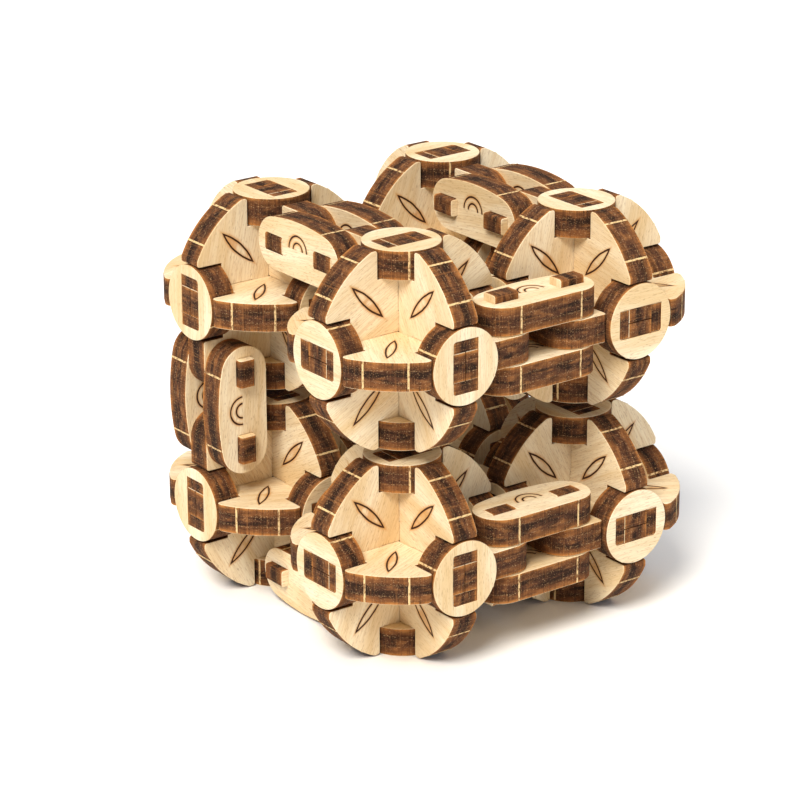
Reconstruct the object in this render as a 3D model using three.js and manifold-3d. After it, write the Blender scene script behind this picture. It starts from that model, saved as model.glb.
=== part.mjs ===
// Folding wooden puzzle cube: eight open balls of interlocked plywood discs in a 2 x 2 x 2 block,
// joined in one closed ring by eight short links, so that the block folds inside out endlessly.
//
// Millimetres, +Z up. The origin is the middle of the block's footprint, on the surface it stands on.
// Front is -Y and right is +X. Each ball is three discs that cross at right angles and six round caps,
// one on each pole. Each link is two D-shaped plates on two pins, one plate on either side of the
// tongues that two neighbouring balls reach out to it.
import * as THREE from "three";
import { mergeVertices } from "three/addons/utils/BufferGeometryUtils.js";
import Module from "manifold-3d";

const wasm = await Module();
wasm.setup();

// ---------------------------------------------------------------- driving dimensions
const PLY = 5; // thickness of the plywood sheet that every piece is cut from
const KERF_GAP = 0.05; // play left on each side of a push fit
const CAP_RADIUS = 6.6;
const CAP_SIDE_GAP = 0.1; // play between a cap's rim and the notch that it sits in
const PRONG_WIDTH = 2; // width of each outer prong that passes through a cap
const TIP_RECESS = 0.15; // how far prong, tenon and disc corners stop short of the cap's face
const DISC_BULGE = 0.45; // how far a disc's arcs stand out past its corners, from the ball's centre
const CROSS_REACH = 6; // ball centre to the floor of the slots that lock the discs together
const BALL_GAP = 2.6; // between the caps that two neighbouring balls turn to each other

const HINGE_RADIUS = 4.6; // rounded ends of the tongues and of the plates, about the hinge axes
const PIVOT_SPACING = 13.9; // between the two hinge axes of a link
const PLATE_RISE = 0.7; // how far a plate's bowed side crowns above its rounded ends
const PLATE_TUCK = 0.3; // how far that crown reaches past the cap's outermost point, beside its rim
const PLATE_PLAY = 0.15; // between a plate and the tongue that it covers
const PIN_HEIGHT = 3; // pin section across the link
const PIN_PLAY = 0.16; // between a pin's corners and the round hole that it turns in
const PIN_PROUD = 1.3; // how far the long end of a pin stands out of its plate
const PIN_SHORT_PROUD = 0.1; // how far its other end stands out

const ROUND_ERROR = 0.1; // how far a round outline's chords may cut inside its true arc

// ---------------------------------------------------------------- what follows from them
const PLATE_BOW = HINGE_RADIUS + PLATE_RISE; // hinge line to the crown of the plate's bowed side
const PIVOT_OFFSET = CAP_RADIUS + PLATE_BOW - PLATE_TUCK; // ball centre to a hinge axis, along each direction of the disc
const BALL_SPACING = 2 * PIVOT_OFFSET + PIVOT_SPACING;
const BALL_REACH = (BALL_SPACING - BALL_GAP) / 2; // ball centre to the outer face of a cap
const SLOT_WIDTH = PLY + 2 * KERF_GAP;
const NOTCH = CAP_RADIUS + CAP_SIDE_GAP; // half the width of the notch that a cap sits in
const SEAT = BALL_REACH - PLY - KERF_GAP; // ball centre to the floor of that notch
const CORNER_REACH = BALL_REACH - TIP_RECESS;
const DISC_RADIUS = Math.hypot(CORNER_REACH, NOTCH) + DISC_BULGE;
const TONGUE_EDGE = PIVOT_OFFSET + HINGE_RADIUS;
const PRONG_EDGE = PLY / 2 + PRONG_WIDTH; // outer side of a prong, from the pole's axis
const PIN_WIDTH = PLY; // pin section along the link
const PIN_HOLE_RADIUS = Math.hypot(PIN_WIDTH, PIN_HEIGHT) / 2 + PIN_PLAY;
const PLATE_OFFSET = PLY / 2 + PLATE_PLAY + PLY / 2; // middle of a tongue to the middle of a plate

// ---------------------------------------------------------------- arrangement of the puzzle
const X = new THREE.Vector3(1, 0, 0);
const Y = new THREE.Vector3(0, 1, 0);
const Z = new THREE.Vector3(0, 0, 1);

// The side of the block that each ball is on, in x, y and z.
const BALLS = {
  upper_front_left: new THREE.Vector3(-1, -1, 1),
  upper_front_right: new THREE.Vector3(1, -1, 1),
  upper_back_left: new THREE.Vector3(-1, 1, 1),
  upper_back_right: new THREE.Vector3(1, 1, 1),
  lower_front_left: new THREE.Vector3(-1, -1, -1),
  lower_front_right: new THREE.Vector3(1, -1, -1),
  lower_back_left: new THREE.Vector3(-1, 1, -1),
  lower_back_right: new THREE.Vector3(1, 1, -1),
};

// Each link joins two balls on one side of the block. Its bowed side faces bow, and its pins' long
// ends point to the side that long gives, along the hinge axes.
const down = Z.clone().negate();
const left = X.clone().negate();
const front = Y.clone().negate();
const LINKS = {
  upper_front_link: { balls: ["upper_front_left", "upper_front_right"], side: front, bow: Y, long: 1 },
  lower_front_link: { balls: ["lower_front_left", "lower_front_right"], side: front, bow: Y, long: -1 },
  upper_left_link: { balls: ["upper_front_left", "upper_back_left"], side: Z, bow: Z, long: 1 },
  upper_right_link: { balls: ["upper_front_right", "upper_back_right"], side: Z, bow: Z, long: -1 },
  lower_left_link: { balls: ["lower_front_left", "lower_back_left"], side: down, bow: down, long: 1 },
  lower_right_link: { balls: ["lower_front_right", "lower_back_right"], side: down, bow: down, long: 1 },
  back_left_link: { balls: ["lower_back_left", "upper_back_left"], side: left, bow: left, long: -1 },
  back_right_link: { balls: ["lower_back_right", "upper_back_right"], side: X, bow: X, long: 1 },
};

// The ring is opened here, so that the rest of it is a chain: this link's pin is two short pegs,
// one in each plate, and this ball's tongue slides between them.
const OPEN_LINK = "back_right_link";
const OPEN_BALL = "upper_back_right";

const birch = () => new THREE.MeshStandardMaterial({ color: 0xd9b88a, roughness: 0.75, metalness: 0 });
const charred = () => new THREE.MeshStandardMaterial({ color: 0x4a2c1c, roughness: 0.85, metalness: 0 });

// ---------------------------------------------------------------- solids
// A closed geometry as a solid for joining and cutting.
function solidOf(geometry) {
  const bare = geometry.clone();
  bare.deleteAttribute("normal");
  bare.deleteAttribute("uv");
  const merged = mergeVertices(bare, 1e-4);
  return new wasm.Manifold(
    new wasm.Mesh({
      numProp: 3,
      vertProperties: new Float32Array(merged.attributes.position.array),
      triVerts: new Uint32Array(merged.index.array),
    }),
  );
}

function geometryOf(solid) {
  const mesh = solid.getMesh();
  const geometry = new THREE.BufferGeometry();
  geometry.setAttribute("position", new THREE.BufferAttribute(mesh.vertProperties, 3));
  geometry.setIndex(new THREE.BufferAttribute(mesh.triVerts, 1));
  geometry.computeVertexNormals();
  return geometry;
}

// An outline cut out of the sheet, with the sheet's middle at z = 0.
function cutFromSheet(shape, thickness = PLY) {
  const geometry = new THREE.ExtrudeGeometry(shape, { depth: thickness, bevelEnabled: false, curveSegments: 1 });
  return geometry.translate(0, 0, -thickness / 2);
}

// Points along an arc, from its start angle to its end angle, both ends included.
function arcPoints(centreX, centreY, radius, start, end) {
  const longestStep = 2 * Math.acos(1 - ROUND_ERROR / radius);
  const steps = Math.max(1, Math.ceil(Math.abs(end - start) / longestStep));
  return Array.from({ length: steps + 1 }, (_, i) => {
    const angle = start + ((end - start) * i) / steps;
    return new THREE.Vector2(centreX + radius * Math.cos(angle), centreY + radius * Math.sin(angle));
  });
}

function rectangle(halfWidth, halfHeight) {
  return new THREE.Path([
    new THREE.Vector2(-halfWidth, -halfHeight),
    new THREE.Vector2(halfWidth, -halfHeight),
    new THREE.Vector2(halfWidth, halfHeight),
    new THREE.Vector2(-halfWidth, halfHeight),
  ]);
}

function circle(Type, radius, centreX = 0, centreY = 0) {
  const points = arcPoints(centreX, centreY, radius, 0, 2 * Math.PI);
  points.pop();
  return new Type(points);
}

// ---------------------------------------------------------------- discs
// A disc's outline at one pole, across the notch for the cap. Points are (along, across) the pole.
// At its outer poles a disc ends in two prongs with an open slot between them, which takes the
// other disc's tenon, and at its inner poles it ends in one such tenon.
function polePoints(isOuter) {
  const halfSlot = SLOT_WIDTH / 2;
  const right = isOuter
    ? [
        [SEAT, -PRONG_EDGE],
        [CORNER_REACH, -PRONG_EDGE],
        [CORNER_REACH, -halfSlot],
        [CROSS_REACH, -halfSlot],
      ]
    : [
        [SEAT, -PLY / 2],
        [CORNER_REACH, -PLY / 2],
      ];
  const leftHalf = right.map(([along, across]) => [along, -across]).reverse();
  return [[SEAT, -NOTCH], ...right, ...leftHalf, [SEAT, NOTCH]].map(([a, b]) => new THREE.Vector2(a, b));
}

// A disc's outline between two poles: an arc between two blunt corners, or the tongue that a link
// takes hold of.
function quadrantPoints(isTongue) {
  if (!isTongue) {
    const start = Math.acos(CORNER_REACH / DISC_RADIUS);
    return [
      new THREE.Vector2(CORNER_REACH, NOTCH),
      ...arcPoints(0, 0, DISC_RADIUS, start, Math.PI / 2 - start),
      new THREE.Vector2(NOTCH, CORNER_REACH),
    ];
  }
  return [
    new THREE.Vector2(TONGUE_EDGE, NOTCH),
    ...arcPoints(PIVOT_OFFSET, PIVOT_OFFSET, HINGE_RADIUS, 0, Math.PI / 2),
    new THREE.Vector2(NOTCH, TONGUE_EDGE),
  ];
}

// One disc, with its caps on its outer poles. firstOuter says that the outer poles are on local x,
// and tongues lists the quadrants (0 to 3, counter-clockwise from +x +y) that reach out to a link.
function discGeometry(firstOuter, tongues) {
  const outline = [];
  for (let quarter = 0; quarter < 4; quarter++) {
    const turn = (quarter * Math.PI) / 2;
    const isOuter = (quarter % 2 === 0) === firstOuter;
    const quarterPoints = [...polePoints(isOuter), ...quadrantPoints(tongues.includes(quarter))];
    outline.push(...quarterPoints.map((point) => point.rotateAround(new THREE.Vector2(), turn)));
  }
  const shape = new THREE.Shape(outline);
  const windowLength = CROSS_REACH + KERF_GAP;
  shape.holes.push(
    firstOuter ? rectangle(SLOT_WIDTH / 2, windowLength) : rectangle(windowLength, SLOT_WIDTH / 2),
  );
  for (const quarter of tongues) {
    const pivot = new THREE.Vector2(PIVOT_OFFSET, PIVOT_OFFSET).rotateAround(
      new THREE.Vector2(),
      (quarter * Math.PI) / 2,
    );
    shape.holes.push(circle(THREE.Path, PIN_HOLE_RADIUS, pivot.x, pivot.y));
  }

  const capShape = circle(THREE.Shape, CAP_RADIUS);
  capShape.holes.push(rectangle(SLOT_WIDTH / 2, SLOT_WIDTH / 2));
  let disc = solidOf(cutFromSheet(shape));
  for (const end of [1, -1]) {
    const cap = cutFromSheet(capShape).translate(0, 0, end * (BALL_REACH - PLY / 2));
    if (firstOuter) cap.rotateY(Math.PI / 2);
    else cap.rotateX(-Math.PI / 2);
    disc = disc.add(solidOf(cap));
  }
  return geometryOf(disc);
}

// The quadrant of a disc that points towards a direction, in the disc's own plane.
function quadrantOf(direction, u, v) {
  const positiveU = direction.dot(u) > 0;
  const positiveV = direction.dot(v) > 0;
  if (positiveV) return positiveU ? 0 : 1;
  return positiveU ? 3 : 2;
}

// ---------------------------------------------------------------- links
// A plate is D-shaped: both ends are round about the hinge axes, one side is straight, and the other
// is one long arc that touches both ends and crowns at PLATE_BOW. The plate's local y points to it.
function plateGeometry() {
  const half = PIVOT_SPACING / 2;
  const rise = PLATE_BOW - HINGE_RADIUS;
  const depth = (half * half - rise * rise) / (2 * rise); // hinge line to the long arc's centre
  const lean = Math.atan2(half, depth); // of the point where the long arc meets an end
  const shape = new THREE.Shape([
    ...arcPoints(half, 0, HINGE_RADIUS, -Math.PI / 2, Math.PI / 2 - lean),
    ...arcPoints(0, -depth, depth + PLATE_BOW, Math.PI / 2 - lean, Math.PI / 2 + lean).slice(1, -1),
    ...arcPoints(-half, 0, HINGE_RADIUS, Math.PI / 2 + lean, (3 * Math.PI) / 2),
  ]);
  let plate = solidOf(cutFromSheet(shape));
  for (const end of [-1, 1]) {
    const hole = new THREE.BoxGeometry(PIN_WIDTH + 2 * KERF_GAP, PIN_HEIGHT + 2 * KERF_GAP, 2 * PLY);
    plate = plate.subtract(solidOf(hole.translate(end * half, 0, 0)));
  }
  return geometryOf(plate);
}

// A pin lies along local z, from its bottom end to its top end.
function pinGeometry(bottom, top) {
  const geometry = new THREE.BoxGeometry(PIN_WIDTH, PIN_HEIGHT, top - bottom);
  return geometry.translate(0, 0, (top + bottom) / 2);
}

// ---------------------------------------------------------------- assembly
const puzzle = new THREE.Group();

function addMesh(parent, name, geometry, material) {
  const mesh = new THREE.Mesh(geometry, material);
  mesh.name = name;
  parent.add(mesh);
  return mesh;
}

const ballCentre = (signs) =>
  new THREE.Vector3(
    (signs.x * BALL_SPACING) / 2,
    (signs.y * BALL_SPACING) / 2,
    BALL_REACH + ((signs.z + 1) * BALL_SPACING) / 2,
  );

for (const [ballName, signs] of Object.entries(BALLS)) {
  const ball = new THREE.Group();
  ball.position.copy(ballCentre(signs));
  puzzle.add(ball);
  // Neighbours in the ring lock their discs in opposite order.
  const firstOuter = signs.x * signs.y > 0;
  for (const [axisName, u, v, normal] of [
    ["x", Y, Z, X],
    ["y", Z, X, Y],
    ["z", X, Y, Z],
  ]) {
    const tongues = Object.values(LINKS)
      .filter((link) => link.balls.includes(ballName))
      .map((link) => {
        const other = link.balls.find((name) => name !== ballName);
        return BALLS[other].clone().sub(signs).normalize().add(link.side);
      })
      .filter((direction) => direction.dot(normal) === 0)
      .map((direction) => quadrantOf(direction, u, v));
    const disc = addMesh(ball, `${ballName}_disc_${axisName}`, discGeometry(firstOuter, tongues), birch());
    disc.setRotationFromMatrix(new THREE.Matrix4().makeBasis(u, v, normal));
  }
}

for (const [linkName, { balls, side, bow, long }] of Object.entries(LINKS)) {
  const [first, second] = balls.map((name) => ballCentre(BALLS[name]));
  const along = second.clone().sub(first).normalize();
  const link = new THREE.Group();
  link.position.copy(first).add(second).divideScalar(2).addScaledVector(side, PIVOT_OFFSET);
  const across = along.clone().cross(bow); // hinge direction
  link.setRotationFromMatrix(new THREE.Matrix4().makeBasis(along, bow, across));
  puzzle.add(link);

  for (const [letter, level] of [
    ["a", 1],
    ["b", -1],
  ]) {
    const plate = addMesh(link, `${linkName}_plate_${letter}`, plateGeometry(), birch());
    plate.position.z = level * PLATE_OFFSET;
  }
  const outside = PLATE_OFFSET + PLY / 2;
  const top = outside + (long > 0 ? PIN_PROUD : PIN_SHORT_PROUD);
  const bottom = -outside - (long > 0 ? PIN_SHORT_PROUD : PIN_PROUD);
  balls.forEach((ballName, i) => {
    const place = (i - 0.5) * PIVOT_SPACING;
    if (linkName === OPEN_LINK && ballName === OPEN_BALL) {
      const inside = PLATE_OFFSET - PLY / 2;
      addMesh(link, `${linkName}_peg_a`, pinGeometry(inside, top), charred()).position.x = place;
      addMesh(link, `${linkName}_peg_b`, pinGeometry(bottom, -inside), charred()).position.x = place;
    } else {
      addMesh(link, `${linkName}_pin_${i + 1}`, pinGeometry(bottom, top), charred()).position.x = place;
    }
  });
}

export default puzzle;
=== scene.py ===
"""Folding puzzle cube of laser-cut birch plywood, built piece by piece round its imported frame.

Eight open balls, each of six half discs and six round caps, are joined in a ring by eight links,
each of two D-shaped plates on two flat pins. Every piece is cut from the same sheet, so every piece
is drawn as an outline in the sheet's plane, in millimetres, and then stood in its place.
"""

import logging
import math
import random
from collections.abc import Callable
from dataclasses import dataclass
from enum import Enum
from functools import partial

import bmesh
import bpy
from bmesh.types import BMEdge, BMesh, BMVert
from bpy.types import Material, NodeSocket, NodeTree, Object
from mathutils import Matrix, Vector


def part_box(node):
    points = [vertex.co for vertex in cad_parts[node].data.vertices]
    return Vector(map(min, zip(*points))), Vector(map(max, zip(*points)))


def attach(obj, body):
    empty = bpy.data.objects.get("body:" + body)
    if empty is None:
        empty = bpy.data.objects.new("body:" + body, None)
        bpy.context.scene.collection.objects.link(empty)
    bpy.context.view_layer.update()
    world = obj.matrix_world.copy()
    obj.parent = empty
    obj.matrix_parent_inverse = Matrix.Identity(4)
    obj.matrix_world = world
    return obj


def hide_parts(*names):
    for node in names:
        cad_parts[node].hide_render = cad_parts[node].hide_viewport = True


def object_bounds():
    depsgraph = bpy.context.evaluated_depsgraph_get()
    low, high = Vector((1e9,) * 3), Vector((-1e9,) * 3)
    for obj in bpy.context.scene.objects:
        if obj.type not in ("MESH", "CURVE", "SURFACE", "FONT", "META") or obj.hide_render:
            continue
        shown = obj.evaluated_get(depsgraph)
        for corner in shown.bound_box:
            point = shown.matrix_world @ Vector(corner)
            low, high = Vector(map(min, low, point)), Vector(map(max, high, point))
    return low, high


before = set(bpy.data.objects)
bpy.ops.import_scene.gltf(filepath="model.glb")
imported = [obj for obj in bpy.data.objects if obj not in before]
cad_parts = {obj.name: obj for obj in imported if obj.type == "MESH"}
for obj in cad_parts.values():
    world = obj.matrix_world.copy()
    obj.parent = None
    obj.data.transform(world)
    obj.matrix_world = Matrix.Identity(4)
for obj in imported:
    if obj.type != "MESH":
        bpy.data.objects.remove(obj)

Adder = Callable[..., NodeSocket]
Point = tuple[float, float]
Triple = tuple[float, float, float]

CAD_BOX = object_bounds()
LOG = logging.getLogger("folding_cube")

MM = 0.001
VENEER_SPAN = 600.0  # size of the veneer that every piece has its own spot in, in mm
BALL_SEEDS = 100  # seeds kept for the pieces of each ball
LINK_SEEDS = 10  # and of each link
FIRST_LINK_SEED = 1000
SHARP = 1.0  # radians of turn that make an edge part of a face's rim
FACING = 0.5  # share of a normal along z that makes a face part of the sheet's faces

# Closeness, in mm
SAME_POINT = 1e-5  # the pen doesn't draw a shorter line
CLOSING_GAP = 1e-4  # an outline's ends that are nearer than this are one point
LEVEL = 1e-6  # points this close in height lie in one plane

# What each point of a mesh remembers
SHEET_POINT = "sheet_mm"  # its place on its own piece: x and y in the sheet's plane, z through it
GRAIN_POINT = "grain_mm"  # its place in the veneer that the piece was cut from, x along the grain
HEAT = "heat"  # 1 at the laser's cut, falling to 0 where the face is untouched

X = Vector((1.0, 0.0, 0.0))
Y = Vector((0.0, 1.0, 0.0))
Z = Vector((0.0, 0.0, 1.0))


# ---------------- sizes, in mm
@dataclass(frozen=True)
class Sheet:
    """The plywood sheet and what the laser does to it."""

    ply: float = 5.0
    kerf_gap: float = 0.05
    heat_reach: float = 0.4  # how far the heat of the cut tints a face
    edge_round: float = 0.09  # burnt-back arris between a face and a cut edge
    tab_width: float = 0.34  # bridge of wood that held the piece in its sheet
    tab_proud: float = 0.07
    chord: float = 0.55  # steps of a drawn arc
    corner_chord: float = 0.2  # steps of a rounded corner


@dataclass(frozen=True)
class LinkSizes:
    """One link: its hinge axes, plates and pins."""

    sheet: Sheet
    hinge_radius: float = 4.6  # rounded ends of tongues and plates
    pivot_spacing: float = 13.9
    plate_rise: float = 0.7
    plate_play: float = 0.15
    pin_height: float = 3.0
    pin_play: float = 0.16
    pin_proud: float = 1.3
    pin_short_proud: float = 0.1
    pin_round: float = 0.45
    hole_round: float = 0.5
    tab_inset: float = 0.6  # from the ends of a plate's straight side to its tabs
    bow_tab: float = 0.16  # from the ends of its bow to its tabs, 1 being the crown
    grain_turn: float = -7.0  # degrees from a plate's length

    @property
    def plate_bow(self) -> float:
        """Hinge line to the crown of a plate's bowed side."""
        return self.hinge_radius + self.plate_rise

    @property
    def pin_width(self) -> float:
        """Pin section along the link, which is the sheet's thickness."""
        return self.sheet.ply

    @property
    def pin_hole_radius(self) -> float:
        """Round hole in a tongue that the pin's corners turn in."""
        return math.hypot(self.pin_width, self.pin_height) / 2 + self.pin_play


@dataclass(frozen=True)
class BallSizes:
    """One ball of crossed discs and caps."""

    sheet: Sheet
    link: LinkSizes
    cap_radius: float = 6.6
    cap_side_gap: float = 0.1
    prong_width: float = 2.0
    tip_recess: float = 0.15
    disc_bulge: float = 0.45
    cross_reach: float = 6.0
    ball_gap: float = 2.6
    plate_tuck: float = 0.3
    split_gap: float = 0.1  # half of the gap between two half discs
    corner_round: float = 0.45
    slot_round: float = 0.6  # upper corners of a cap's slot
    disc_tab: float = 11.3  # degrees from the middle of a disc's arc to its tabs
    cap_tab: float = 64.0  # degrees from the length of a cap's slot to its tabs
    grain_turns: Triple = (22.0, 62.0, 102.0)  # degrees from a half disc's pole, ball by ball

    @property
    def pivot_offset(self) -> float:
        """Ball centre to a hinge axis, along each direction of the disc."""
        return self.cap_radius + self.link.plate_bow - self.plate_tuck

    @property
    def reach(self) -> float:
        """Ball centre to a cap's outer face."""
        return self.pivot_offset + (self.link.pivot_spacing - self.ball_gap) / 2

    @property
    def seat(self) -> float:
        """Ball centre to the floor of the notch that a cap sits in."""
        return self.reach - self.sheet.ply - self.sheet.kerf_gap

    @property
    def notch(self) -> float:
        """Half the width of that notch."""
        return self.cap_radius + self.cap_side_gap

    @property
    def corner_reach(self) -> float:
        """Ball centre to the ends of the prongs, tenons and blunt corners."""
        return self.reach - self.tip_recess

    @property
    def disc_radius(self) -> float:
        """Radius of a disc's plain arcs."""
        return math.hypot(self.corner_reach, self.notch) + self.disc_bulge


SHEET = Sheet()
LINK = LinkSizes(SHEET)
BALL = BallSizes(SHEET, LINK)


# ---------------- materials
def colour(code: str) -> tuple[float, float, float, float]:
    """Turns an sRGB hex code into Blender's linear colour.

    Args:
        code: Six hex digits after a hash, such as "#e8d0a8".

    Returns:
        Linear red, green, blue and an alpha of 1.
    """
    channels = [int(code[i : i + 2], 16) / 255 for i in (1, 3, 5)]
    linear = [c / 12.92 if c <= 0.04045 else ((c + 0.055) / 1.055) ** 2.4 for c in channels]
    return (*linear, 1.0)


def add_node(
    tree: NodeTree,
    kind: str,
    inputs: dict[int | str, object] | tuple[object, ...] = (),
    output: int | str = 0,
    **settings: object,
) -> NodeSocket:
    """Adds one node with its settings and links.

    Args:
        tree: The material's node tree.
        kind: The node's type without its common beginning, such as "Math".
        inputs: Sockets to link or values to set, by name or in order.
        output: The output to hand back.
        **settings: The node's own properties.

    Returns:
        The named output socket of the new node.
    """
    node = tree.nodes.new(f"ShaderNode{kind}")
    for name, value in settings.items():
        setattr(node, name, value)
    for key, value in inputs.items() if isinstance(inputs, dict) else enumerate(inputs):
        if isinstance(value, NodeSocket):
            tree.links.new(value, node.inputs[key])
        else:
            node.inputs[key].default_value = value
    return node.outputs[output]


class Mark(Enum):
    """What the laser engraved on a face."""

    NONE = "plain"
    PETAL = "petal"
    RINGS = "rings"


@dataclass(frozen=True)
class Stain:
    """A colour that soaks in where a pattern passes from one value to another."""

    pattern: NodeSocket
    start: float
    full: float
    share: float
    tint: str
    within: NodeSocket | float = 1.0  # a second pattern that holds it back


@dataclass(frozen=True)
class WoodFinish:
    """What faces and cut edges share: how patterns are read, how stains lie, and the shader."""

    roughness: float = 0.68
    gloss: float = 0.28
    relief_mm: float = 0.05
    relief_share: float = 0.8
    octave_share: float = 0.55  # how strong each finer octave of a mottling is

    def start(self, name: str) -> tuple[Material, Adder]:
        """An empty node material.

        Args:
            name: The material's name.

        Returns:
            The material, and the node adder for its tree.
        """
        made = bpy.data.materials.new(name)
        made.use_nodes = True
        made.node_tree.nodes.clear()
        return made, partial(add_node, made.node_tree)

    def mottle(self, add: Adder, place: str, cell: Triple, detail: float) -> NodeSocket:
        """Soft mottling whose patches have a real size.

        Args:
            add: The material's node adder.
            place: The attribute that it is read at, in mm.
            cell: The size of one patch along x, y and z, in mm.
            detail: Octaves of finer mottling on top.

        Returns:
            A value about 0.5.
        """
        where = add("Attribute", output="Vector", attribute_name=place)
        counted = add("VectorMath", (where, tuple(1 / c for c in cell)), operation="MULTIPLY")
        noise = {"Vector": counted, "Scale": 1.0, "Detail": detail, "Roughness": self.octave_share}
        return add("TexNoise", noise)

    def soak(self, add: Adder, base: object, stains: list[Stain]) -> NodeSocket:
        """Lays stains over a base colour, one after the other.

        Args:
            add: The material's node adder.
            base: The colour below, a socket or a linear colour.
            stains: The stains from the lowest up.

        Returns:
            The stained colour.
        """
        for stain in stains:
            ramp = {"From Min": stain.start, "From Max": stain.full, "To Max": stain.share}
            ramp["Value"] = stain.pattern
            shown = add("MapRange", ramp, interpolation_type="SMOOTHSTEP")
            held = add("Math", (shown, stain.within), operation="MULTIPLY")
            base = add("Mix", {0: held, 6: base, 7: colour(stain.tint)}, 2, data_type="RGBA")
        return base

    def finish(
        self, made: Material, add: Adder, base: NodeSocket, height: NodeSocket
    ) -> Material:
        """Ends the nodes in a matt wood shader with a relief.

        Args:
            made: The material.
            add: Its node adder.
            base: The finished colour.
            height: The relief, 1 being relief_mm high.

        Returns:
            The finished material.
        """
        relief = {"Strength": self.relief_share, "Distance": self.relief_mm * MM, "Height": height}
        look = {"Base Color": base, "Roughness": self.roughness, "Specular IOR Level": self.gloss}
        look["Normal"] = add("Bump", relief)
        shader = add("BsdfPrincipled", look)
        surface = made.node_tree.nodes.new("ShaderNodeOutputMaterial").inputs["Surface"]
        made.node_tree.links.new(shader, surface)
        return made


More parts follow.
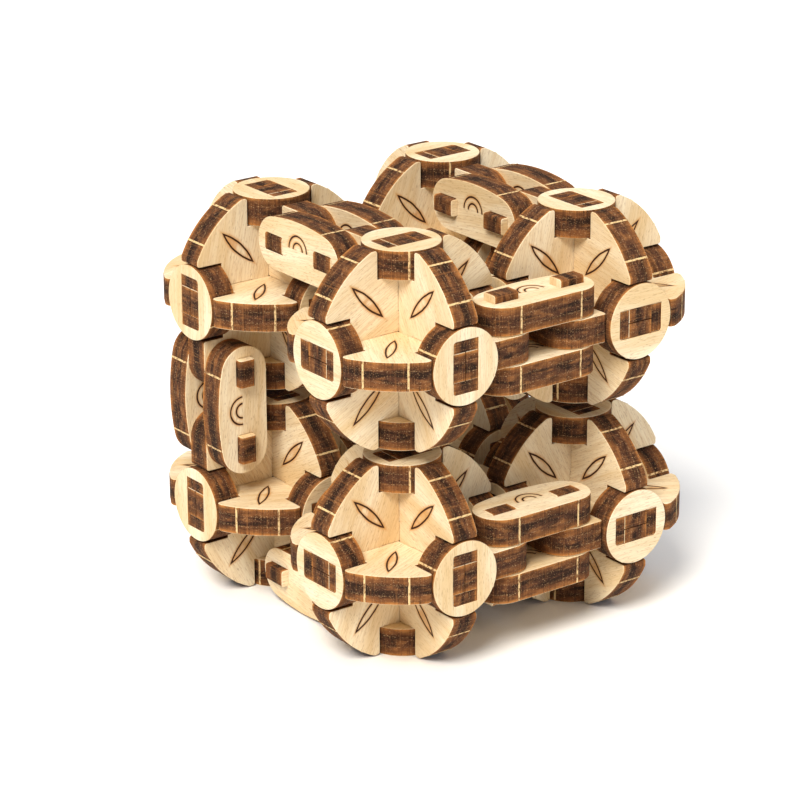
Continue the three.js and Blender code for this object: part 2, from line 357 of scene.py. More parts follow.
@dataclass(frozen=True)
class BirchFace(WoodFinish):
    """Rotary-cut birch veneer, sanded and left bare."""

    # It gives the eye a pale cream face with soft long figure, fine fibre streaks and short brown
    # flecks, an amber and brown rim where the laser's heat ran in, and thin burnt engraved lines.
    light: str = "#f3e3c4"
    deep: str = "#e0c394"
    streak: str = "#c9a26c"
    fleck: str = "#96683a"
    amber: str = "#c98a3e"
    singed: str = "#54301a"
    burnt: str = "#3a1c0b"
    petal_centre: float = 12.4  # along the diagonal of a quadrant
    petal_length: float = 8.2
    petal_width: float = 1.5
    line_width: float = 0.31
    line_soft: float = 0.05
    line_wobble: float = 0.16
    line_halo: float = 0.35  # amber on each side of a burnt line
    line_relief: float = -1.6
    ring_centre: float = 0.4  # above the hinge line of a plate
    ring_radii: Point = (2.5, 1.3)
    ring_clear: float = 5.0  # put between the arcs' ends and all that lies below them
    figure: Triple = (34.0, 5.0, 5.0)
    fibre: Triple = (4.5, 0.22, 0.22)  # coarser than the real fibres, so that they show
    pore: Triple = (1.0, 0.15, 0.15)  # a little wider than real pores, for the same reason
    wander: Triple = (1.6, 1.6, 1.6)
    patch: Triple = (6.0, 4.0, 4.0)
    heat_base: float = 0.35  # scorching where the mottling is at its least
    fibre_relief: float = 0.35

    def petal_distance(self, add: Adder) -> NodeSocket:
        """Distance to the outline of a petal on each quadrant's diagonal, negative inside.

        Args:
            add: The material's node adder.

        Returns:
            The signed distance in mm.
        """
        half_length, half_width = self.petal_length / 2, self.petal_width / 2
        arc = (half_length**2 + half_width**2) / (2 * half_width)
        slant = math.sqrt(0.5)
        where = add("Attribute", output="Vector", attribute_name=SHEET_POINT)
        mirrored = add("VectorMath", (where,), operation="ABSOLUTE")
        along, aside = (
            add("VectorMath", (mirrored, way), "Value", operation="DOT_PRODUCT")
            for way in ((slant, slant, 0.0), (slant, -slant, 0.0))
        )
        spot = add("CombineXYZ", (along, add("Math", (aside,), operation="ABSOLUTE")))
        arc_centre = (self.petal_centre, half_width - arc, 0.0)
        reach = add("VectorMath", (spot, arc_centre), "Value", operation="DISTANCE")
        return add("Math", (reach, arc), operation="SUBTRACT")

    def ring_distance(self, add: Adder) -> NodeSocket:
        """Distance to two plain arcs that echo a plate's bowed side.

        Args:
            add: The material's node adder.

        Returns:
            The distance in mm, large below the arcs' ends.
        """
        where = add("Attribute", output="Vector", attribute_name=SHEET_POINT)
        flat = add("VectorMath", (where, (1.0, 1.0, 0.0)), operation="MULTIPLY")
        centre = (0.0, self.ring_centre, 0.0)
        radius = add("VectorMath", (flat, centre), "Value", operation="DISTANCE")
        large, small = (
            add("Math", (add("Math", (radius, ring), operation="SUBTRACT"),), operation="ABSOLUTE")
            for ring in self.ring_radii
        )
        nearest = add("Math", (large, small), operation="MINIMUM")
        height = add("VectorMath", (flat, (0.0, 1.0, 0.0)), "Value", operation="DOT_PRODUCT")
        below = add("Math", (height, self.ring_centre), operation="LESS_THAN")
        return add("Math", (below, self.ring_clear, nearest), operation="MULTIPLY_ADD")

    def material(self, mark: Mark) -> Material:
        """Makes the veneer.

        Args:
            mark: What is engraved on it.

        Returns:
            The finished material.
        """
        made, add = self.start(f"birch_veneer_sanded_{mark.value}")
        figure = self.mottle(add, GRAIN_POINT, self.figure, 3.0)
        fibre = self.mottle(add, GRAIN_POINT, self.fibre, 2.0)
        pores = self.mottle(add, GRAIN_POINT, self.pore, 1.0)
        wander = self.mottle(add, GRAIN_POINT, self.wander, 2.0)
        patch = self.mottle(add, GRAIN_POINT, self.patch, 2.0)
        heat = add("Attribute", output="Fac", attribute_name=HEAT)
        uneven = add("Math", (wander, self.heat_base), operation="ADD")
        scorch = add("Math", (heat, uneven), operation="MULTIPLY")
        stains = [
            Stain(figure, 0.32, 0.7, 1.0, self.deep),
            Stain(fibre, 0.42, 0.68, 0.38, self.streak),
            Stain(pores, 0.6, 0.7, 0.42, self.fleck),
            Stain(scorch, 0.26, 0.8, 0.85, self.amber),
            Stain(scorch, 0.62, 0.95, 0.8, self.singed),
        ]
        height = add("Math", (fibre, self.fibre_relief), operation="MULTIPLY")
        if mark is not Mark.NONE:
            distance = self.petal_distance(add) if mark is Mark.PETAL else self.ring_distance(add)
            wobbly = add("Math", (wander, self.line_wobble, distance), operation="MULTIPLY_ADD")
            centred = add("Math", (wobbly, self.line_wobble / 2), operation="SUBTRACT")
            clear = add("Math", (centred,), operation="ABSOLUTE")
            half, soft = self.line_width / 2, self.line_soft
            cut = {"Value": clear, "From Min": half + soft, "From Max": half - soft}
            groove = add("MapRange", cut, interpolation_type="SMOOTHSTEP")
            warm = {"Value": patch, "From Min": 0.42, "From Max": 0.6}
            glow = add("MapRange", warm, interpolation_type="SMOOTHSTEP")
            stains += [
                Stain(distance, 0.9, -0.2, 0.6, self.amber, glow),
                Stain(clear, half + self.line_halo, half, 0.5, self.amber),
                Stain(groove, 0.0, 1.0, 1.0, self.burnt),
            ]
            height = add("Math", (groove, self.line_relief, height), operation="MULTIPLY_ADD")
        return self.finish(made, add, self.soak(add, colour(self.light), stains), height)


@dataclass(frozen=True)
class CharredEdge(WoodFinish):
    """Cut edge of three-layer birch plywood, charred by the laser."""

    # It gives the eye a matt dark red umber that mottles softly, a slightly darker core layer, two
    # broken pale glue lines, fine striations through the sheet's thickness, a dust of pale fibre
    # ends, and an amber margin where the edge meets each face.
    roughness: float = 0.85
    gloss: float = 0.15
    outer: str = "#714628"
    core: str = "#503222"
    soot: str = "#21150f"
    scorched: str = "#9a6539"
    margin: str = "#bb7c40"
    fibre_end: str = "#c9a174"
    core_half: float = 0.95
    glue_half: float = 0.1
    margin_width: float = 0.7
    layer_drift: float = 0.5  # how far the layers wander up and down
    wander: Triple = (3.0, 3.0, 3.0)
    patch: Triple = (2.2, 2.2, 0.9)
    smoke: Triple = (6.0, 6.0, 1.3)
    striation: Triple = (0.22, 0.22, 7.0)  # coarser than the real ones, so that they show
    dust: Triple = (0.24, 0.24, 0.15)
    line_relief: float = 1.3
    patch_relief: float = 0.8

    def material(self) -> Material:
        """Makes the charred edge.

        Returns:
            The finished material.
        """
        made, add = self.start("birch_plywood_edge_laser_charred")
        wander = self.mottle(add, GRAIN_POINT, self.wander, 2.0)
        patch = self.mottle(add, GRAIN_POINT, self.patch, 4.0)
        smoke = self.mottle(add, GRAIN_POINT, self.smoke, 3.0)
        lines = self.mottle(add, SHEET_POINT, self.striation, 2.0)
        dust = self.mottle(add, GRAIN_POINT, self.dust, 1.0)

        where = add("Attribute", output="Vector", attribute_name=SHEET_POINT)
        height = add("VectorMath", (where, (0.0, 0.0, 1.0)), "Value", operation="DOT_PRODUCT")
        through = add("Math", (height,), operation="ABSOLUTE")
        drift_terms = (wander, self.layer_drift, -self.layer_drift / 2)
        drift = add("Math", drift_terms, operation="MULTIPLY_ADD")
        level = add("Math", (through, drift), operation="ADD")
        past_core = add("Math", (level, self.core_half), operation="SUBTRACT")
        from_glue = add("Math", (past_core,), operation="ABSOLUTE")
        glue_line = {"From Min": self.glue_half * 1.6, "From Max": self.glue_half * 0.4}
        glue_line["Value"] = from_glue
        glue = add("MapRange", glue_line, interpolation_type="SMOOTHSTEP")
        rough_edge = add("Math", (wander, lines), operation="ADD")
        ragged = add("MapRange", {"Value": rough_edge, "From Min": 0.78, "From Max": 1.12})
        inner = {"From Min": self.core_half + 1.0, "From Max": self.core_half - 0.3, "To Min": 0.3}
        inner["Value"] = level
        inside = add("MapRange", inner, interpolation_type="SMOOTHSTEP")
        face_level = SHEET.ply / 2
        stains = [
            Stain(level, self.core_half - 0.5, self.core_half + 0.7, 1.0, self.outer),
            Stain(patch, 0.48, 0.7, 0.65, self.scorched),
            Stain(patch, 0.5, 0.3, 0.5, self.soot),
            Stain(smoke, 0.56, 0.4, 0.85, self.soot, inside),
            Stain(lines, 0.5, 0.3, 0.4, self.soot),
            Stain(lines, 0.54, 0.74, 0.36, self.scorched),
            Stain(dust, 0.48, 0.64, 0.3, self.fibre_end, glue),
            Stain(dust, 0.62, 0.74, 0.5, self.fibre_end),
            Stain(level, face_level - self.margin_width, face_level, 0.85, self.margin, ragged),
        ]
        bumps = add("Math", (patch, self.patch_relief), operation="MULTIPLY")
        relief = add("Math", (lines, self.line_relief, bumps), operation="MULTIPLY_ADD")
        return self.finish(made, add, self.soak(add, colour(self.core), stains), relief)


@dataclass(frozen=True)
class TornTab(WoodFinish):
    """Raw birch where a piece was snapped off its bridge in the sheet."""

    # It gives the eye a thin cream bar across the dark edge, ragged and broken here and there.
    roughness: float = 0.8
    raw: str = "#e3c28c"
    shadow: str = "#7b5130"
    splinter: Triple = (0.35, 0.35, 0.6)

    def material(self) -> Material:
        """Makes the torn wood.

        Returns:
            The finished material.
        """
        made, add = self.start("birch_plywood_torn_tab")
        ragged = self.mottle(add, GRAIN_POINT, self.splinter, 3.0)
        gaps = Stain(ragged, 0.46, 0.64, 0.95, self.shadow)
        base = self.soak(add, colour(self.raw), [gaps])
        return self.finish(made, add, base, ragged)


# ---------------- outlines
class Pen:
    """Draws one closed outline as edges, in the sheet's plane, in mm, counter-clockwise."""

    def __init__(self, bm: BMesh, x: float, y: float) -> None:
        """Sets the pen down at a point of the sheet.

        Args:
            bm: The mesh that it draws in.
            x: The point's x.
            y: The point's y.
        """
        self.bm = bm
        self.tab = bm.edges.layers.int.get("tab") or bm.edges.layers.int.new("tab")
        self.first = bm.verts.new((x, y, 0.0))
        self.last = self.first
        self.edges: list[BMEdge] = []

    def line(self, x: float, y: float) -> "Pen":
        """Draws straight to a point, unless the pen is already there.

        Args:
            x: The point's x.
            y: The point's y.

        Returns:
            The pen, so that strokes can follow each other.
        """
        if (self.last.co.xy - Vector((x, y))).length > SAME_POINT:
            vert = self.bm.verts.new((x, y, 0.0))
            self.edges.append(self.bm.edges.new((self.last, vert)))
            self.last = vert
        return self

    def lines(self, *points: Point) -> None:
        """Draws straight through several points."""
        for point in points:
            self.line(*point)

    def arc(
        self, centre: Point, angle: float, chord: float = SHEET.chord, is_tab: bool = False
    ) -> "Pen":
        """Draws an arc from the pen's place.

        Args:
            centre: The arc's centre.
            angle: How far it turns, in radians, positive counter-clockwise.
            chord: About how long its steps are, in mm.
            is_tab: Whether it is the root of a tab, drawn as one step.

        Returns:
            The pen.
        """
        middle = Vector((*centre, 0.0))
        radius = (self.last.co - middle).length
        steps = 1 if is_tab else max(2, math.ceil(abs(angle) * radius / chord))
        turned = bmesh.ops.spin(
            self.bm, geom=[self.last], cent=middle, axis=Z, angle=angle, steps=steps
        )
        end = next(g for g in turned["geom_last"] if isinstance(g, BMVert))
        chain = self._chain(self.last, end)
        if is_tab:
            for edge in chain:
                edge[self.tab] = 1
        self.edges += chain
        self.last = end
        return self

    def _chain(self, start: BMVert, end: BMVert) -> list[BMEdge]:
        """Follows the edges that a spin drew.

        Args:
            start: Where they start.
            end: Where they end.

        Returns:
            The edges in order.
        """
        known = set(self.edges)
        chain: list[BMEdge] = []
        here = start
        while here is not end:
            edge = next(e for e in here.link_edges if e not in known)
            chain.append(edge)
            known.add(edge)
            here = edge.other_vert(here)
        return chain

    def arc_with_tabs(self, centre: Point, angle: float, places: tuple[float, ...]) -> "Pen":
        """Draws an arc that carries tabs.

        Args:
            centre: The arc's centre.
            angle: How far it turns, in radians.
            places: Where its tabs are, in radians from its start, in order.

        Returns:
            The pen.
        """
        radius = (self.last.co.xy - Vector(centre)).length
        half = SHEET.tab_width / 2 / radius
        done = 0.0
        for place in places:
            self.arc(centre, place - half - done).arc(centre, 2 * half, is_tab=True)
            done = place + half
        return self.arc(centre, angle - done)

    def line_with_tabs(self, x: float, y: float, places: tuple[float, ...]) -> "Pen":
        """Draws a straight side that carries tabs.

        Args:
            x: The end point's x.
            y: The end point's y.
            places: Where its tabs are, in mm from its start, in order.

        Returns:
            The pen.
        """
        start = self.last.co.xy.copy()
        way = (Vector((x, y)) - start).normalized()
        for place in places:
            before = start + way * (place - SHEET.tab_width / 2)
            after = start + way * (place + SHEET.tab_width / 2)
            self.line(*before).line(*after)
            self.edges[-1][self.tab] = 1
        return self.line(x, y)

    def rounded(self, corner: Point, towards: Point, radius: float) -> "Pen":
        """Draws to a corner and round it.

        Args:
            corner: Where the corner would be if it were sharp.
            towards: A point on the side after it.
            radius: The corner's radius, or 0 for a sharp one.

        Returns:
            The pen, at the end of the corner's arc.
        """
        tip = Vector(corner)
        inward = (self.last.co.xy - tip).normalized()
        onward = (Vector(towards) - tip).normalized()
        if radius <= 0:
            return self.line(*corner)
        opening = math.acos(max(-1.0, min(1.0, inward.dot(onward))))
        tangent = radius / math.tan(opening / 2)
        middle = tip + (inward + onward).normalized() * (radius / math.sin(opening / 2))
        self.line(*(tip + inward * tangent))
        turns_left = inward.x * onward.y - inward.y * onward.x < 0
        turn = (math.pi - opening) * (1 if turns_left else -1)
        return self.arc(tuple(middle), turn, SHEET.corner_chord)

    def close(self) -> None:
        """Joins the outline's end to its start."""
        if (self.last.co - self.first.co).length < CLOSING_GAP:
            ends = [self.first, self.last]
            bmesh.ops.pointmerge(self.bm, verts=ends, merge_co=self.first.co)
        else:
            self.bm.edges.new((self.last, self.first))


def circle(bm: BMesh, x: float, y: float, radius: float, *tabs: float) -> None:
    """Draws a round outline.

    Args:
        bm: The mesh that it is drawn in.
        x: Its centre's x.
        y: Its centre's y.
        radius: Its radius.
        *tabs: Where its tabs are, in radians from the side that x points to.
    """
    Pen(bm, x + radius, y).arc_with_tabs((x, y), 2 * math.pi, tabs).close()


def rectangle(
    bm: BMesh, x: float, half_width: float, half_height: float, lower: float, upper: float
) -> None:
    """Draws a rectangle about (x, 0) with rounded corners.

    Args:
        bm: The mesh that it is drawn in.
        x: Its centre's x.
        half_width: Half its size along x.
        half_height: Half its size along y.
        lower: The radius of its two lower corners, 0 for sharp ones.
        upper: The radius of its two upper ones.
    """
    left, right = x - half_width, x + half_width
    pen = Pen(bm, x, -half_height)
    pen.rounded((right, -half_height), (right, half_height), lower)
    pen.rounded((right, half_height), (left, half_height), upper)
    pen.rounded((left, half_height), (left, -half_height), upper)
    pen.rounded((left, -half_height), (x, -half_height), lower).close()


# ---------------- pieces
@dataclass(frozen=True)
class Palette:
    """The finishes that all pieces share."""

    faces: dict[Mark, Material]
    edge: Material
    tab: Material

    @classmethod
    def mix(cls) -> "Palette":
        """Makes every material once."""
        faces = {mark: BirchFace().material(mark) for mark in Mark}
        return cls(faces, CharredEdge().material(), TornTab().material())


def basis(x: Vector, y: Vector, z: Vector, origin: Vector) -> Matrix:
    """The matrix that stands a piece of the sheet in its place.

    Args:
        x: Where the sheet's x goes.
        y: Where its y goes.
        z: Where its thickness goes.
        origin: Where its origin goes, in mm.

    Returns:
        The matrix, from mm in the sheet to metres in the frame.
    """
    turned = Matrix((x, y, z)).transposed().to_4x4()
    return Matrix.Scale(MM, 4) @ Matrix.Translation(origin) @ turned


@dataclass
class SheetPiece:
    """One piece of plywood, from its outline to its place in the puzzle."""

    name: str
    body: str
    stands_for: str
    slot: str
    place: Matrix
    draw: Callable[[BMesh], None]
    palette: Palette
    thickness: float = SHEET.ply
    grain_turn: float = 0.0  # from the sheet's x to the grain, in degrees
    face_mark: Callable[[Vector, Vector], Mark] = lambda centre, normal: Mark.NONE
    fold_line: bool = False  # parts the faces along y = 0, so that each side has its own mark

    def build(self, seed: int) -> Object:
        """Cuts, dresses and places the piece.

        Args:
            seed: Picks the spot of the veneer that it is cut from.

        Returns:
            The finished object.
        """
        bm = bmesh.new()
        self.draw(bm)
        self._thicken(bm)
        self._soften(bm)
        materials = [self.palette.edge, self.palette.tab, *self.palette.faces.values()]
        self._dress(bm, materials)
        self._grow_tabs(bm)
        self._record_places(bm, seed)
        bmesh.ops.transform(bm, matrix=self.place, verts=bm.verts)
        mesh = bpy.data.meshes.new(self.name)
        bm.to_mesh(mesh)
        bm.free()
        for material in materials:
            mesh.materials.append(material)
        made = bpy.data.objects.new(self.name, mesh)
        bpy.context.scene.collection.objects.link(made)
        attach(made, self.body)
        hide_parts(self.stands_for)
        return made

    def _thicken(self, bm: BMesh) -> None:
        """Fills the outline and gives it its thickness, centred on z = 0.

        Args:
            bm: The piece, so far its outline.
        """
        bmesh.ops.triangle_fill(bm, use_beauty=True, normal=Z, edges=bm.edges[:])
        raised = bmesh.ops.extrude_face_region(bm, geom=bm.faces[:], use_keep_orig=True)
        verts = [g for g in raised["geom"] if isinstance(g, BMVert)]
        bmesh.ops.translate(bm, verts=verts, vec=(0.0, 0.0, self.thickness))
        bmesh.ops.translate(bm, verts=bm.verts[:], vec=(0.0, 0.0, -self.thickness / 2))
        bmesh.ops.recalc_face_normals(bm, faces=bm.faces[:])
        if self.fold_line:
            geom = [*bm.verts, *bm.edges, *bm.faces]
            bmesh.ops.bisect_plane(bm, geom=geom, dist=CLOSING_GAP, plane_co=(0, 0, 0), plane_no=Y)

    def _soften(self, bm: BMesh) -> None:
        """Insets both faces, so that the heat can fade, and takes the arris off the cut.

        Args:
            bm: The piece.
        """
        heat = bm.verts.layers.float.new(HEAT)
        for vert in bm.verts:
            vert[heat] = 1.0
        level_edges = [e for e in bm.edges if abs(e.verts[0].co.z - e.verts[1].co.z) < LEVEL]
        rim = [e for e in level_edges if e.calc_face_angle(0.0) > SHARP]
        for level in (self.thickness / 2, -self.thickness / 2):
            faces = [f for f in bm.faces if all(abs(v.co.z - level) < LEVEL for v in f.verts)]
            bmesh.ops.inset_region(bm, faces=faces, thickness=SHEET.heat_reach, use_even_offset=True)
            for face in faces:
                for vert in face.verts:
                    vert[heat] = 0.0
        rim = [e for e in rim if e.is_valid]
        bmesh.ops.bevel(
            bm, geom=rim, offset=SHEET.edge_round, affect="EDGES",
            segments=1, profile=0.5, material=-1, clamp_overlap=True,
        )

    def _dress(self, bm: BMesh, materials: list[Material]) -> None:
        """Gives each face of the mesh its material.

        Args:
            bm: The piece.
            materials: The piece's materials, in slot order.
        """
        tab = bm.edges.layers.int.get("tab")
        bm.normal_update()
        for face in bm.faces:
            if abs(face.normal.z) > FACING:
                mark = self.face_mark(face.calc_center_median(), face.normal)
                face.material_index = materials.index(self.palette.faces[mark])
            else:
                is_tab = any(edge[tab] for edge in face.edges)
                face.material_index = 1 if is_tab else 0

    def _grow_tabs(self, bm: BMesh) -> None:
        """Raises the stub of each tab a little off the edge.

        Args:
            bm: The piece.
        """
        for face in [f for f in bm.faces if f.material_index == 1]:
            out = face.normal.copy()
            grown = bmesh.ops.extrude_face_region(bm, geom=[face])
            bmesh.ops.delete(bm, geom=[face], context="FACES_ONLY")
            verts = [g for g in grown["geom"] if isinstance(g, BMVert)]
            bmesh.ops.translate(bm, verts=verts, vec=out * SHEET.tab_proud)

    def _record_places(self, bm: BMesh, seed: int) -> None:
        """Writes each point's place on the piece and in the veneer.

        Args:
            bm: The piece.
            seed: Picks the spot of the veneer.
        """
        dice = random.Random(seed)
        spot = Vector([dice.uniform(0.0, VENEER_SPAN) for _ in range(3)])
        grain = Matrix.Rotation(-math.radians(self.grain_turn), 3, "Z")
        sheet_point = bm.verts.layers.float_vector.new(SHEET_POINT)
        grain_point = bm.verts.layers.float_vector.new(GRAIN_POINT)
        for vert in bm.verts:
            vert[sheet_point] = vert.co
            vert[grain_point] = grain @ vert.co + spot


# ---------------- balls
@dataclass
class Ball:
    """One ball: three crossed discs in six halves, and six caps."""

    name: str
    signs: Vector
    tongues: list[Vector]  # where its tongues point, each along two axes
    palette: Palette
    sizes: BallSizes = BALL

    @property
    def centre(self) -> Vector:
        """Finds the ball in the frame, from two discs, each read only in its own plane.

        Returns:
            The ball's centre in mm.
        """
        boxes = (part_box(f"{self.name}_disc_{axis}") for axis in "xy")
        disc_x, disc_y = ((Vector(low) + Vector(high)) / 2 / MM for low, high in boxes)
        return Vector((disc_y.x, disc_x.y, disc_x.z))

    def draw_half_disc(self, bm: BMesh, lower_tongue: bool, upper_tongue: bool) -> None:
        """Draws the half disc whose outer pole is on x, and whose straight side is on y.

        Args:
            bm: The mesh that it is drawn in.
            lower_tongue: Whether its quadrant below the pole is a tongue.
            upper_tongue: Whether its quadrant above the pole is one.
        """
        s = self.sizes
        split, seat, end = s.split_gap, s.seat, s.corner_reach
        half_ply = SHEET.ply / 2
        slot = half_ply + SHEET.kerf_gap
        prong = half_ply + s.prong_width
        cross, window = s.cross_reach, s.cross_reach + SHEET.kerf_gap
        pen = Pen(bm, split, -window)
        pen.lines((split, -end), (half_ply, -end), (half_ply, -seat), (s.notch, -seat))
        self._quadrant(pen, lower_tongue, False)
        pen.lines((seat, -s.notch), (seat, -prong), (end, -prong), (end, -slot), (cross, -slot))
        pen.lines((cross, slot), (end, slot), (end, prong), (seat, prong), (seat, s.notch))
        self._quadrant(pen, upper_tongue, True)
        pen.lines((s.notch, seat), (half_ply, seat), (half_ply, end), (split, end))
        pen.lines((split, window), (slot, window), (slot, -window))
        pen.close()
        for is_tongue, side in ((lower_tongue, -1), (upper_tongue, 1)):
            if is_tongue:
                circle(bm, s.pivot_offset, side * s.pivot_offset, s.link.pin_hole_radius)

    def _quadrant(self, pen: Pen, is_tongue: bool, is_upper: bool) -> None:
        """Draws from one notch to the next, along an arc or round a tongue.

        Args:
            pen: The pen, at the corner of the first notch.
            is_tongue: Whether this quadrant reaches out to a link.
            is_upper: Whether it lies above the outer pole.
        """
        s = self.sizes
        notch, end, radius = s.notch, s.corner_reach, s.corner_round
        tip, edge = s.pivot_offset, s.pivot_offset + s.link.hinge_radius

        def at(x: float, y: float) -> Point:
            """Turns a point of the upper quadrant to the quadrant that is drawn."""
            return (x, y) if is_upper else (y, -x)

        if is_tongue:
            pen.rounded(at(edge, notch), at(edge, tip), radius).line(*at(edge, tip))
            pen.arc(at(tip, tip), math.pi / 2)
            pen.rounded(at(notch, edge), at(notch, 0.0), radius)
            return
        start = math.acos(end / s.disc_radius)
        sweep = math.pi / 2 - 2 * start
        tab = math.radians(s.disc_tab)
        begin = at(s.disc_radius * math.cos(start), s.disc_radius * math.sin(start))
        pen.rounded(at(end, notch), begin, radius).line(*begin)
        pen.arc_with_tabs((0.0, 0.0), sweep, (sweep / 2 - tab, sweep / 2 + tab))
        pen.rounded(at(notch, end), at(notch, 0.0), radius)

    def draw_cap(self, bm: BMesh) -> None:
        """Draws a cap with the slot that the disc ends fill, long along x.

        Args:
            bm: The mesh that it is drawn in.
        """
        s = self.sizes
        turn = math.radians(s.cap_tab)
        circle(bm, 0.0, 0.0, s.cap_radius, turn, turn + math.pi)
        long_half = SHEET.ply / 2 + s.prong_width + SHEET.kerf_gap
        rectangle(bm, 0.0, long_half, SHEET.ply / 2 + SHEET.kerf_gap, 0.0, s.slot_round)

    def build(self, seed: int) -> list[Object]:
        """Builds all of the ball's pieces.

        Args:
            seed: Where its pieces' seeds start.

        Returns:
            The finished objects.
        """
        made: list[Object] = []
        centre = self.centre
        level = self.sizes.reach - SHEET.ply / 2
        first_outer = self.signs.x * self.signs.y > 0
        for axis, u, v, normal in (("x", Y, Z, X), ("y", Z, X, Y), ("z", X, Y, Z)):
            outer, inner = (u, v) if first_outer else (v, -u)
            node = f"{self.name}_disc_{axis}"
            in_plane = [t for t in self.tongues if abs(t.dot(normal)) < LEVEL]
            for side, label in ((1, "a"), (-1, "b")):
                x, y = outer * side, inner * side
                here = [t for t in in_plane if t.dot(x) > 0]
                lower = any(t.dot(y) < 0 for t in here)
                upper = any(t.dot(y) > 0 for t in here)
                piece = SheetPiece(
                    name=f"{self.name}_half_disc_{axis}{label}",
                    body=self.name,
                    stands_for=node,
                    slot="plywood_disc",
                    place=basis(x, y, normal, centre),
                    draw=lambda bm, low=lower, up=upper: self.draw_half_disc(bm, low, up),
                    palette=self.palette,
                    grain_turn=self.sizes.grain_turns[seed % 3],
                    face_mark=lambda c, n, low=lower, up=upper: (
                        Mark.NONE if (up if c.y > 0 else low) else Mark.PETAL
                    ),
                    fold_line=True,
                )
                made.append(piece.build(seed + len(made)))
                cap = SheetPiece(
                    name=f"{self.name}_cap_{axis}{label}",
                    body=self.name,
                    stands_for=node,
                    slot="plywood_disc",
                    place=basis(inner, x.cross(inner), x, centre + x * level),
                    draw=self.draw_cap,
                    palette=self.palette,
                )
                made.append(cap.build(seed + len(made)))
        return made


# ---------------- links
@dataclass(frozen=True)
class LinkPlan:
    """Where a link sits, and which way it faces."""

    balls: tuple[str, str]
    side: Vector  # the side of the balls that it is on
    bow: Vector  # the way that its plates bow
    marked: int  # which way its engraved faces look along the hinge axes
    long_end: int  # which way its pins' long ends point
    open_end: str = ""  # the ball whose pin is two pegs


@dataclass
class Link:
    """One link: two D-shaped plates on two flat pins."""

    name: str
    plan: LinkPlan
    palette: Palette
    sizes: LinkSizes = LINK

    def draw_plate(self, bm: BMesh) -> None:
        """Draws a plate: straight below, round at its ends, and bowed above.

        Args:
            bm: The mesh that it is drawn in.
        """
        s = self.sizes
        half = s.pivot_spacing / 2
        rise = s.plate_rise
        depth = (half**2 - rise**2) / (2 * rise)  # from the hinge line down to the bow's centre
        lean = math.atan2(half, depth)
        bow_tabs = (s.bow_tab * lean, (2 - s.bow_tab) * lean)
        pen = Pen(bm, -half, -s.hinge_radius)
        pen.line_with_tabs(half, -s.hinge_radius, (s.tab_inset, 2 * half - s.tab_inset))
        pen.arc((half, 0.0), math.pi - lean)
        pen.arc_with_tabs((0.0, -depth), 2 * lean, bow_tabs)
        pen.arc((-half, 0.0), math.pi - lean)
        pen.close()
        width, height = s.pin_width / 2 + SHEET.kerf_gap, s.pin_height / 2 + SHEET.kerf_gap
        for end in (-1, 1):
            rectangle(bm, end * half, width, height, 0.0, s.hole_round)

    def draw_pin(self, bm: BMesh, length: float) -> None:
        """Draws a pin that lies along x, with its ends' corners burnt round."""
        s = self.sizes
        rectangle(bm, 0.0, length / 2, s.pin_height / 2, s.pin_round, s.pin_round)

    def build(self, centres: dict[str, Vector], seed: int) -> list[Object]:
        """Builds the link's plates and pins.

        Args:
            centres: Every ball's centre in mm.
            seed: Where its pieces' seeds start.

        Returns:
            The finished objects.
        """
        s, plan = self.sizes, self.plan
        first, second = (centres[name] for name in plan.balls)
        along = (second - first).normalized()
        across = along.cross(plan.bow)
        middle = (first + second) / 2 + plan.side * BALL.pivot_offset
        offset = SHEET.ply + s.plate_play
        made: list[Object] = []
        for label, level in (("a", 1), ("b", -1)):
            plate = SheetPiece(
                name=f"{self.name}_plate_{label}_cut",
                body=self.name,
                stands_for=f"{self.name}_plate_{label}",
                slot="plywood_plate",
                place=basis(along, plan.bow, across, middle + across * (level * offset)),
                draw=self.draw_plate,
                palette=self.palette,
                grain_turn=s.grain_turn,
                face_mark=lambda c, n: Mark.RINGS if n.z * plan.marked > 0 else Mark.NONE,
            )
            made.append(plate.build(seed + len(made)))
        outside = offset + SHEET.ply / 2
        inside = offset - SHEET.ply / 2
        top = outside + (s.pin_proud if plan.long_end > 0 else s.pin_short_proud)
        bottom = -outside - (s.pin_short_proud if plan.long_end > 0 else s.pin_proud)
        for i, ball in enumerate(plan.balls):
            spans = {f"pin_{i + 1}": (bottom, top)}
            if ball == plan.open_end:
                spans = {"peg_a": (inside, top), "peg_b": (bottom, -inside)}
            for label, (low, high) in spans.items():
                hinge = middle + along * ((i - 0.5) * s.pivot_spacing)
                spot = hinge + across * ((low + high) / 2)
                pin = SheetPiece(
                    name=f"{self.name}_{label}_cut",
                    body=self.name,
                    stands_for=f"{self.name}_{label}",
                    slot="plywood_pin",
                    place=basis(across, plan.bow, across.cross(plan.bow), spot),
                    draw=lambda bm, length=high - low: self.draw_pin(bm, length),
                    palette=self.palette,
                    thickness=s.pin_width,
                )
                made.append(pin.build(seed + len(made)))
        return made


# ---------------- studio
@dataclass(frozen=True)
class Lamp:
    """A wide soft lamp, so far out that it lights the whole table evenly."""

    name: str
    place: Triple  # which way it hangs from the puzzle
    spread: float  # how wide it looks from the puzzle, in degrees
    power: float  # in watts per square metre
    tint: str

    def build(self) -> None:
        """Hangs the lamp and turns it to the puzzle."""
        light = bpy.data.lights.new(self.name, "SUN")
        light.angle = math.radians(self.spread)
        light.energy = self.power
        light.color = colour(self.tint)[:3]
        lamp = bpy.data.objects.new(self.name, light)
        lamp.location = self.place
        lamp.rotation_euler = (-Vector(self.place)).to_track_quat("-Z", "Y").to_euler()
        bpy.context.scene.collection.objects.link(lamp)


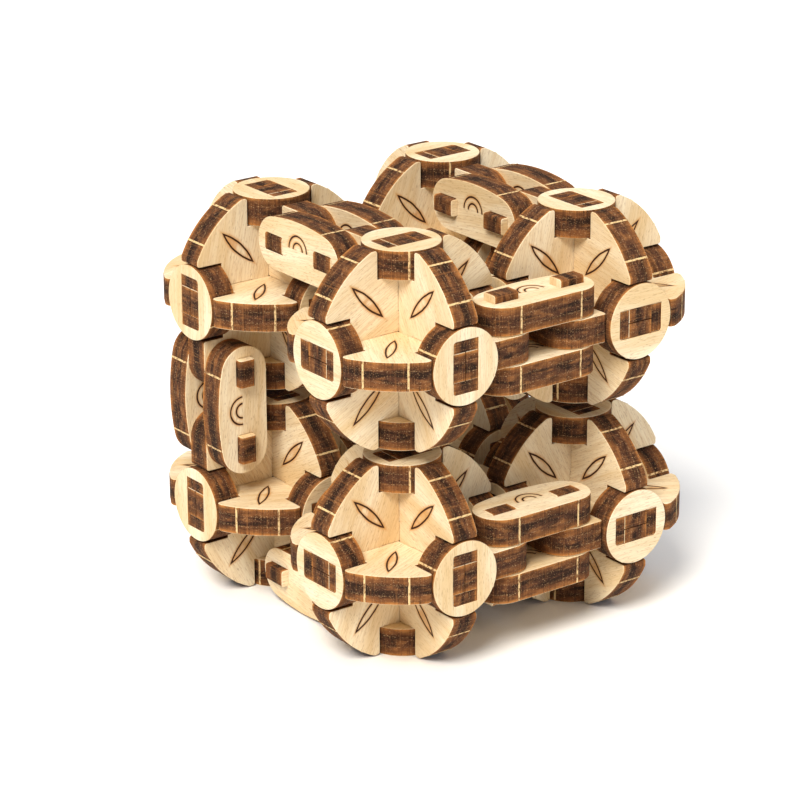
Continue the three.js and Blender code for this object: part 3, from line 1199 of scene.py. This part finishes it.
@dataclass(frozen=True)
class Studio:
    """Pale floor, soft light and the camera."""

    floor_half: float = 4.0  # half the table's width, in metres as all of these
    floor_drop: float = 0.00005  # so that the table doesn't flicker through the lowest pieces
    floor_roughness: float = 0.9
    room_tint: str = "#f3f7ff"
    room_strength: float = 0.32
    lamps: tuple[Lamp, ...] = (
        Lamp("key_softbox", (-0.62, -0.38, 0.82), 26.0, 3.5, "#fff9ee"),
        Lamp("front_fill", (0.1, -0.9, 0.3), 50.0, 0.2, "#ffffff"),
        Lamp("overhead_softbox", (0.1, 0.15, 0.95), 80.0, 1.1, "#ffffff"),
    )
    azimuth: float = math.radians(36.9)
    elevation: float = math.radians(20.2)
    roll: float = math.radians(0.23)
    distance: float = 0.5784
    aim: Triple = (0.0, 0.0067, 0.0321)
    lens: float = 147.8  # in mm
    nearest: float = 0.01

    def build(self) -> None:
        """Sets up the whole studio."""
        self._floor()
        self._world()
        for lamp in self.lamps:
            lamp.build()
        self._camera()
        bpy.context.scene.view_settings.view_transform = "Standard"

    def _floor(self) -> None:
        """A wide pale table top, just under the puzzle."""
        bm = bmesh.new()
        bmesh.ops.create_grid(bm, x_segments=1, y_segments=1, size=self.floor_half)
        low = (0.0, 0.0, CAD_BOX[0][2] - self.floor_drop)
        bmesh.ops.translate(bm, verts=bm.verts, vec=low)
        mesh = bpy.data.meshes.new("floor")
        bm.to_mesh(mesh)
        bm.free()
        floor = bpy.data.objects.new("floor", mesh)
        bpy.context.scene.collection.objects.link(floor)
        # Matt white paper: it gives the eye an even white ground with no shine.
        paper = bpy.data.materials.new("white_matt_paper")
        paper.use_nodes = True
        shader = paper.node_tree.nodes["Principled BSDF"]
        shader.inputs["Base Color"].default_value = colour("#ffffff")
        shader.inputs["Roughness"].default_value = self.floor_roughness
        mesh.materials.append(paper)

    def _world(self) -> None:
        """An even white room."""
        world = bpy.data.worlds.new("white_room")
        world.use_nodes = True
        background = world.node_tree.nodes["Background"]
        background.inputs["Color"].default_value = colour(self.room_tint)
        background.inputs["Strength"].default_value = self.room_strength
        bpy.context.scene.world = world

    def _camera(self) -> None:
        """Places the camera on the front left, looking a little down."""
        turn, tilt = self.azimuth, self.elevation
        level = math.cos(tilt)
        forward = Vector((math.sin(turn) * level, math.cos(turn) * level, -math.sin(tilt)))
        data = bpy.data.cameras.new("camera")
        data.lens = self.lens
        data.clip_start = self.nearest
        camera = bpy.data.objects.new("camera", data)
        camera.location = Vector(self.aim) - forward * self.distance
        upright = forward.to_track_quat("-Z", "Y").to_matrix()
        camera.rotation_euler = (upright @ Matrix.Rotation(-self.roll, 3, "Z")).to_euler()
        bpy.context.scene.collection.objects.link(camera)
        bpy.context.scene.camera = camera


# ---------------- the puzzle
def ball_signs(name: str) -> Vector:
    """The sides of the block that a ball's name says.

    Args:
        name: Such as "upper_front_left".

    Returns:
        -1 or 1 along each axis.
    """
    return Vector([1 if side in name else -1 for side in ("right", "back", "upper")])


LINK_PLANS: dict[str, LinkPlan] = {
    "upper_front_link": LinkPlan(("upper_front_left", "upper_front_right"), -Y, Y, 1, 1),
    "lower_front_link": LinkPlan(("lower_front_left", "lower_front_right"), -Y, Y, 1, -1),
    "upper_left_link": LinkPlan(("upper_front_left", "upper_back_left"), Z, Z, -1, 1),
    "upper_right_link": LinkPlan(("upper_front_right", "upper_back_right"), Z, Z, -1, -1),
    "lower_left_link": LinkPlan(("lower_front_left", "lower_back_left"), -Z, -Z, -1, 1),
    "lower_right_link": LinkPlan(("lower_front_right", "lower_back_right"), -Z, -Z, -1, 1),
    "back_left_link": LinkPlan(("lower_back_left", "upper_back_left"), -X, -X, 1, 1),
    "back_right_link": LinkPlan(
        ("lower_back_right", "upper_back_right"), X, X, -1, 1, open_end="upper_back_right"
    ),
}


def build_puzzle(palette: Palette) -> list[Object]:
    """Builds every ball and link.

    Args:
        palette: The shared finishes.

    Returns:
        Every piece of the puzzle.
    """
    names = sorted({name for plan in LINK_PLANS.values() for name in plan.balls})
    pieces: list[Object] = []
    centres: dict[str, Vector] = {}
    for i, name in enumerate(names):
        signs = ball_signs(name)
        tongues = []
        for plan in LINK_PLANS.values():
            if name in plan.balls:
                other = plan.balls[1 - plan.balls.index(name)]
                tongues.append((ball_signs(other) - signs).normalized() + plan.side)
        ball = Ball(name, signs, tongues, palette)
        centres[name] = ball.centre
        pieces += ball.build(BALL_SEEDS * (i + 1))
        LOG.info("%s: %d pieces", name, len(pieces))
    for i, (name, plan) in enumerate(LINK_PLANS.items()):
        pieces += Link(name, plan, palette).build(centres, FIRST_LINK_SEED + LINK_SEEDS * i)
        LOG.info("%s: %d pieces", name, len(pieces))
    return pieces


def main() -> None:
    """Builds the puzzle and its studio."""
    logging.basicConfig(level=logging.INFO, format="%(message)s")
    pieces = build_puzzle(Palette.mix())
    Studio().build()
    faces = sum(len(piece.data.polygons) for piece in pieces)
    LOG.info("%d pieces, %d faces", len(pieces), faces)


if __name__ == "__main__":
    main()
